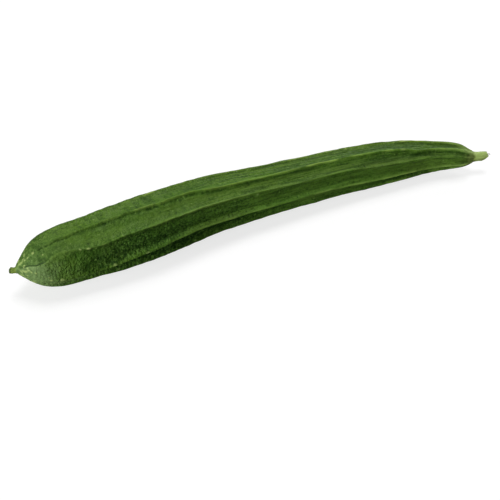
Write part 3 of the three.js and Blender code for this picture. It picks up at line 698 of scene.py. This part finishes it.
# yellower tint on the top facets: painted light colour on the lit top
base = N.mix(N.attr("lit_top_yellowing"), base, (0.97, 1.0, 0.72), "MULTIPLY")
N.put(N.bsdf.inputs["Base Color"], base)
N.put(N.bsdf.inputs["Roughness"], N.remap(mottle, 0.3, 0.7, 0.7, 0.52))
N.bsdf.inputs["Specular IOR Level"].default_value = 0.13
soft = N.noise(N.scaled(flow_v, (1.3, 1.0, 1.0), (0.5, 0.5, 0.1)), 470.0, 1.0, 0.4)
pores = N.noise(flow_v, 1100.0, 1.0, 0.4)
drawn = N.noise(N.scaled(flow_v, (0.16, 1.0, 1.0), (0.1, 0.7, 0.3)), 560.0, 2.0, 0.5)
skin = N.math("ADD", N.times(soft, 1.3), N.times(blotch, 0.7))
skin = N.times(skin, N.attr("rough"), N.remap(slim, 0.35, 1.0, 1.0, 0.3, "LINEAR"))
skin = N.math("ADD", skin, N.times(pores, 0.3))
lines = N.math("ADD", N.times(long_streak, 1.1), N.times(drawn, 1.4))
N.bump(N.math("ADD", skin, N.times(lines, slim)), 1.0, 0.001)

gourd = new_object("gourd_rind_surface", verts * MM, faces, attributes, uvs, N.mat)
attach(gourd, "root")
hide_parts("gourd_body")


# ------------------------------------------------------------------ stem stub
def tube(point, tangent, radius_of, stations, sides, shape):
    """Rings along a path. shape(angle, s, r) gives (radius, way along the path) for a station."""
    a = np.linspace(0, 2 * math.pi, sides, endpoint=False)
    rings = []
    for s, inset in stations:
        c, tan = point(s), tangent(s)
        a_up, a_front = ring_frame(tan)
        r, way = shape(a, s, radius_of(min(max(s, 0.0), 1.0)) * inset, inset)
        rings.append(c + r[:, None] * (np.cos(a)[:, None] * a_up + np.sin(a)[:, None] * a_front) + way[:, None] * tan)
    return np.array(rings)


def join(parts):
    """One mesh from closed parts (vertices, faces)."""
    verts, faces, start = [], [], 0
    for v, fs in parts:
        verts.append(np.asarray(v))
        faces += [tuple(int(x) + start for x in fc) for fc in fs]
        start += len(v)
    return np.concatenate(verts), faces


bevel = np.array(STUB_BEVEL_DIR) / np.linalg.norm(STUB_BEVEL_DIR)
end_up, end_front = ring_frame(stub_tangent(1.0))


def stub_shape(a, s, r, inset):
    q = np.stack([np.cos(a) * 2.2, np.sin(a) * 2.2, np.full_like(a, s * 4.0)], -1)
    ribs = 1 + 0.05 * np.cos(5 * (a - 0.3)) + 0.022 * np.cos(10 * (a + 0.4) + 2 * s)
    lumps = 0.05 * fbm(q * np.array([1.6, 1.6, 0.9]), 131, 2) + 0.02 * noise(q * np.array([4.5, 4.5, 1.2]), 137)
    r = r * (1 - 0.05 * smooth(s, 0.6, 1.0))
    radial = r * (ribs if inset > 0.9 else 1 + (ribs - 1) * inset) * (1 + lumps * (1.0 if inset > 0.9 else inset))
    if s < 0:
        radial = radial * (1 + 0.9 * s)
    offset = radial[:, None] * (np.cos(a)[:, None] * end_up + np.sin(a)[:, None] * end_front)
    way = -STUB_BEVEL * max(s, 0) ** 2 * np.maximum(0, offset @ bevel - STUB_BEVEL_FROM) - 0.16 * max(s, 0) ** 4 * (offset @ np.array([0.0, 0.64, 0.77]))
    if inset < 1:  # the cut face: firm rind edge, sunken pith, torn fibres
        way = way - 0.38 * smooth(1 - inset, 0.05, 0.35) + 0.16 * noise(np.stack([np.cos(a) * inset * 5, np.sin(a) * inset * 5, 0 * a + 7], -1), 141)
        way = way + 0.14 * gauss(inset - 0.62, 0.14) * np.maximum(0, np.cos(9 * a + 1.3 * np.cos(2 * a)))
    return radial, way


stub_stations = [(s, 1.0) for s in np.concatenate([np.linspace(-0.12, 0.9, 44), [0.93, 0.955, 0.975, 0.99]])]
stub_stations += [(1.0, q) for q in (0.985, 0.955, 0.9, 0.82, 0.73, 0.64, 0.54, 0.43, 0.31, 0.19, 0.08)]
SIDES = 84
stub_rings = tube(stub_point, stub_tangent, stub_radius, stub_stations, SIDES, stub_shape)
stub_v, stub_q, stub_c = loft(stub_rings, stub_point(-0.12), stub_rings[-1].mean(0))
way_along = np.repeat([s for s, _ in stub_stations], SIDES)
inward = np.repeat([q for _, q in stub_stations], SIDES)
turn = np.tile(np.linspace(0, 2 * math.pi, SIDES, endpoint=False), len(stub_stations))
parts = [(stub_v, [*map(tuple, stub_q.tolist()), *map(tuple, stub_c.tolist())])]
stub_attr = {
    "way": [*way_along, -0.12, 1.0],
    "inward": [*inward, 1.0, 0.0],
    "fibre": [0.0] * len(stub_v),
    "low": [*(np.cos(turn) * (end_up @ bevel) + np.sin(turn) * (end_front @ bevel)), 0.0, 0.0],
    "skin": np.concatenate([np.stack([way_along * 12, 4 * np.cos(turn) * inward, 4 * np.sin(turn) * inward], -1), [[-2, 0, 0], [12, 0, 0]]]),
}


def strand(points, radii, sides=8):
    points = np.asarray(points, float)
    tan = np.gradient(points, axis=0)
    tan = tan / np.linalg.norm(tan, axis=1, keepdims=True)
    side = np.cross(tan, [0.3, 0.2, 1.0])
    side = side / np.linalg.norm(side, axis=1, keepdims=True)
    other = np.cross(tan, side)
    a = np.linspace(0, 2 * math.pi, sides, endpoint=False)
    rings = points[:, None, :] + np.asarray(radii)[:, None, None] * (np.cos(a)[None, :, None] * side[:, None, :] + np.sin(a)[None, :, None] * other[:, None, :])
    v, q, c = loft(rings, points[0], points[-1])
    return v, [*map(tuple, q.tolist()), *map(tuple, c.tolist())]


# torn fibres left standing at the cut
end_c, end_t = stub_point(1.0), stub_tangent(1.0)
for a0, reach, bend, thick in [(0.55, 2.5, -0.9, 0.34), (0.95, 1.1, 0.3, 0.22), (5.6, 0.8, 0.4, 0.2), (3.9, 0.7, -0.2, 0.18), (2.4, 0.9, 0.25, 0.2)]:
    out = math.cos(a0) * end_up + math.sin(a0) * end_front
    root = end_c + out * 3.15 - end_t * (0.7 + STUB_BEVEL * max(0, 3.15 * (out @ bevel) - STUB_BEVEL_FROM))
    s = np.linspace(0, 1, 9)[:, None]
    pts = root + end_t * (0.7 + reach) * s + out * 0.25 * s - out * 0.2 * s**3 + np.array([0, 0, bend]) * s**2.5
    parts.append(strand(pts, thick * np.array([1, 1, 0.95, 0.9, 0.8, 0.85, 0.95, 0.7, 0.25])))
    count = len(parts[-1][0])
    stub_attr["way"] += [1.0] * count
    stub_attr["inward"] += [0.9] * count
    stub_attr["low"] += [0.0] * count
    stub_attr["fibre"] += [*np.repeat(np.linspace(0.2, 1, 9), 8), 0.2, 1.0]
    stub_attr["skin"] = np.concatenate([stub_attr["skin"], np.full((count, 3), 3.0)])

stub_v, stub_f = join(parts)
M = Nodes("stem_skin")
way_a, inward_a, fibre_a = (M.attr(a) for a in ("way", "inward", "fibre"))
skin_v = M.attr("skin", "Vector")
blotch = M.noise(skin_v, 420.0, 3.0, 0.6)
line = M.noise(M.scaled(skin_v, (0.12, 1, 1)), 900.0, 3.0, 0.6)
col = M.mix(M.remap(blotch, 0.35, 0.65), srgb(156, 180, 98), srgb(170, 192, 112))
col = M.mix(M.times(M.remap(line, 0.5, 0.7), 0.5), col, srgb(190, 210, 140))
col = M.mix(M.times(M.remap(line, 0.46, 0.3), 0.5), col, srgb(140, 168, 80))
# painted shade: the stub darker on its lower front side; its root darker olive, more so on that side
low = M.remap(M.attr("low"), -0.35, 0.35)
col = M.mix(M.times(M.remap(M.attr("low"), -0.5, 0.5), 0.4), col, srgb(132, 152, 76))
col = M.mix(M.times(M.remap(way_a, 0.26, 0.02), M.remap(blotch, 0.4, 0.6, 0.6, 1.0), M.math("ADD", M.times(low, 0.7), 0.3), 0.95), col, srgb(118, 136, 60))
col = M.mix(M.times(M.remap(M.voronoi(skin_v, 900.0), 0.3, 0.1), M.remap(blotch, 0.5, 0.6), 0.6), col, srgb(112, 120, 56))
face = M.remap(inward_a, 0.97, 0.9)
rays = M.noise(skin_v, 1500.0, 2.0, 0.6)
cut = M.mix(M.remap(inward_a, 0.75, 0.4), srgb(182, 196, 130), srgb(206, 208, 160))
cut = M.mix(M.times(M.remap(rays, 0.5, 0.66), 0.6), cut, srgb(146, 150, 92))
col = M.mix(face, col, cut)
edge = M.times(M.remap(inward_a, 0.9, 0.96), M.remap(way_a, 0.97, 1.0))
col = M.mix(M.times(edge, 0.35), col, srgb(104, 112, 54))
col = M.mix(M.remap(fibre_a, 0.1, 0.9), col, srgb(92, 100, 48))
M.put(M.bsdf.inputs["Base Color"], col)
M.put(M.bsdf.inputs["Roughness"], M.remap(blotch, 0.3, 0.7, 0.5, 0.7))
M.bsdf.inputs["Specular IOR Level"].default_value = 0.2
M.bump(M.math("ADD", M.times(line, 0.8), M.times(rays, 0.3)), 0.5, 0.0004)
stub = new_object(
    "stem_stub_surface", stub_v * MM, stub_f,
    {
        "way": ("FLOAT", stub_attr["way"]),
        "inward": ("FLOAT", stub_attr["inward"]),
        "fibre": ("FLOAT", stub_attr["fibre"]),
        "low": ("FLOAT", stub_attr["low"]),
        "skin": ("FLOAT_VECTOR", stub_attr["skin"] * MM),
    },
    None, M.mat,
)
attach(stub, "root")
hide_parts("stem_stub")


# ------------------------------------------------------------------ flower remnant
def tip_shape(a, s, r, inset):
    q = np.stack([np.cos(a) * 1.8, np.sin(a) * 1.8, np.full_like(a, s * 3.0)], -1)
    folds = 0.05 * np.cos(7 * a + 1.5 * np.sin(2 * a) + 2.0 * s) * smooth(s, 0.05, 0.5)
    lumps = 0.09 * fbm(q, 151, 2)
    collar = 0.07 * gauss(s - 0.84, 0.07) - 0.07 * gauss(s - 0.7, 0.06)
    radial = r * (1 + folds + lumps + (collar if inset >= 1 else 0))
    if s < 0:
        radial = radial * (1 + 1.2 * s)
    way = 0 * a
    if inset < 1:  # withered scar where the flower dropped off
        way = -0.75 * smooth(1 - inset, 0.1, 0.8) + 0.12 * noise(np.stack([np.cos(a) * inset * 3, np.sin(a) * inset * 3, 0 * a], -1), 157)
    return radial, way + 0.1 * (s > 0.9) * noise(np.stack([np.cos(a) * 2.0, np.sin(a) * 2.0, 0 * a + 3], -1), 159)


TIP_SIDES = 64
tip_stations = [(s, 1.0) for s in np.linspace(-0.22, 0.985, 34)] + [(1.0, q) for q in (1.0, 0.86, 0.68, 0.48, 0.28, 0.12)]
tip_rings = tube(tip_point, tip_tangent, tip_radius, tip_stations, TIP_SIDES, tip_shape)
tip_v, tip_q, tip_c = loft(tip_rings, tip_point(-0.22), tip_rings[-1].mean(0))
tip_way = np.repeat([s + (1 - q) * 0.25 for s, q in tip_stations], TIP_SIDES)
tip_turn = np.tile(np.linspace(0, 2 * math.pi, TIP_SIDES, endpoint=False), len(tip_stations))
tip_skin = np.stack([tip_way * 5, 2.3 * np.cos(tip_turn), 2.3 * np.sin(tip_turn)], -1)
B = Nodes("remnant_skin")
tw, tv = B.attr("way"), B.attr("skin", "Vector")
blot = B.noise(tv, 700.0, 3.0, 0.6)
fold = B.noise(B.scaled(tv, (0.2, 1, 1)), 1200.0, 2.0, 0.6)
col = B.mix(B.remap(blot, 0.35, 0.65), srgb(96, 122, 38), srgb(116, 138, 52))
col = B.mix(B.times(B.remap(fold, 0.5, 0.68), 0.5), col, srgb(136, 154, 74))
col = B.mix(B.times(B.remap(tw, 0.16, -0.04), B.remap(blot, 0.45, 0.55), 0.6), col, srgb(156, 174, 96))
rim = B.math("ADD", tw, B.times(B.math("SUBTRACT", blot, 0.5), 0.35))
col = B.mix(B.times(B.remap(rim, 0.6, 0.86), 0.9), col, srgb(60, 76, 28))
col = B.mix(B.remap(tw, 1.04, 1.14), col, srgb(56, 44, 26))
B.put(B.bsdf.inputs["Base Color"], col)
B.put(B.bsdf.inputs["Roughness"], B.remap(blot, 0.3, 0.7, 0.6, 0.8))
B.bsdf.inputs["Specular IOR Level"].default_value = 0.3
B.bump(B.math("ADD", fold, B.times(blot, 0.6)), 0.6, 0.0004)
tip = new_object(
    "blossom_tip_surface", tip_v * MM, [*map(tuple, tip_q.tolist()), *map(tuple, tip_c.tolist())],
    {
        "way": ("FLOAT", [*tip_way, -0.22, 1.25]),
        "skin": ("FLOAT_VECTOR", np.concatenate([tip_skin, [[-1, 0, 0], [6, 0, 0]]]) * MM),
    },
    None, B.mat,
)
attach(tip, "root")
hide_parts("blossom_tip")

# ------------------------------------------------------------------ floor, light, camera
bpy.ops.mesh.primitive_plane_add(size=3.2, location=(0, 0, 0))
floor = bpy.context.object
floor.name = "floor"
F = Nodes("floor_white")
F.bsdf.inputs["Base Color"].default_value = (0.33, 0.33, 0.33, 1)
F.bsdf.inputs["Roughness"].default_value = 0.9
F.bsdf.inputs["Specular IOR Level"].default_value = 0.0
F.bsdf.inputs["Emission Color"].default_value = (1, 1, 1, 1)
F.bsdf.inputs["Emission Strength"].default_value = 0.74
floor.data.materials.append(F.mat)
floor.visible_diffuse = False
floor.visible_glossy = False
floor.visible_shadow = False


def direction(azimuth, elevation):
    """From the object towards a light: azimuth 0 is in front (-Y), -90 to the left (-X)."""
    a, e = math.radians(azimuth), math.radians(elevation)
    return Vector((math.sin(a) * math.cos(e), -math.cos(a) * math.cos(e), math.sin(e)))


def softbox(name, azimuth, elevation, level, size=1.1, distance=2.0):
    """A round soft light that makes a white surface facing it `level` bright."""
    d = bpy.data.lights.new(name, "AREA")
    d.shape, d.size, d.energy = "DISK", size, level * (math.pi * distance) ** 2
    o = bpy.data.objects.new(name, d)
    bpy.context.scene.collection.objects.link(o)
    o.location = direction(azimuth, elevation) * distance
    o.rotation_euler = direction(azimuth, elevation).to_track_quat("Z", "Y").to_euler()
    return o


softbox("light_overhead", 150, 77, 0.63, 1.2)
softbox("light_right_rear", 138, 28, 0.38, 0.9)
softbox("light_left", -76, 10, 0.8, 0.9)
softbox("light_front", -38, 14, 0.14, 1.2)

# a faint even sky, with a wide glow low on the left, as off a pale table
world = bpy.data.worlds.new("studio")
bpy.context.scene.world = world
world.use_nodes = True
W = Nodes(tree=world.node_tree)
bg = world.node_tree.nodes["Background"]
sky = W.add("ShaderNodeTexCoord").outputs["Generated"]
n = W.add("ShaderNodeVectorMath", operation="DOT_PRODUCT")
W.put(n.inputs[0], sky)
n.inputs[1].default_value = direction(-72, -14)
glow = W.times(W.math("POWER", W.math("MAXIMUM", n.outputs["Value"], 0.0), 6.0), 1.0)
seen = W.add("ShaderNodeLightPath").outputs["Is Camera Ray"]
W.put(bg.inputs["Strength"], W.remap(seen, 0.0, 1.0, W.math("ADD", glow, 0.07), 1.0, "LINEAR"))
bg.inputs["Color"].default_value = (1, 1, 1, 1)

AZ, EL, DIST, TARGET = math.radians(-22.5), math.radians(40.0), 0.8976, Vector((-0.02046, -0.03016, 0.0))
back = Vector((math.sin(AZ) * math.cos(EL), -math.cos(AZ) * math.cos(EL), math.sin(EL)))
cam_data = bpy.data.cameras.new("camera")
cam_data.lens, cam_data.sensor_width = 85.0, 36.0
cam_data.clip_start, cam_data.clip_end = 0.01, 50
cam = bpy.data.objects.new("camera", cam_data)
bpy.context.scene.collection.objects.link(cam)
cam.location = TARGET + back * DIST
cam.rotation_euler = back.to_track_quat("Z", "Y").to_euler()
bpy.context.scene.camera = cam
bpy.context.scene.view_settings.view_transform = "Standard"
bpy.context.scene.view_settings.look = "None"

bpy.context.view_layer.update()
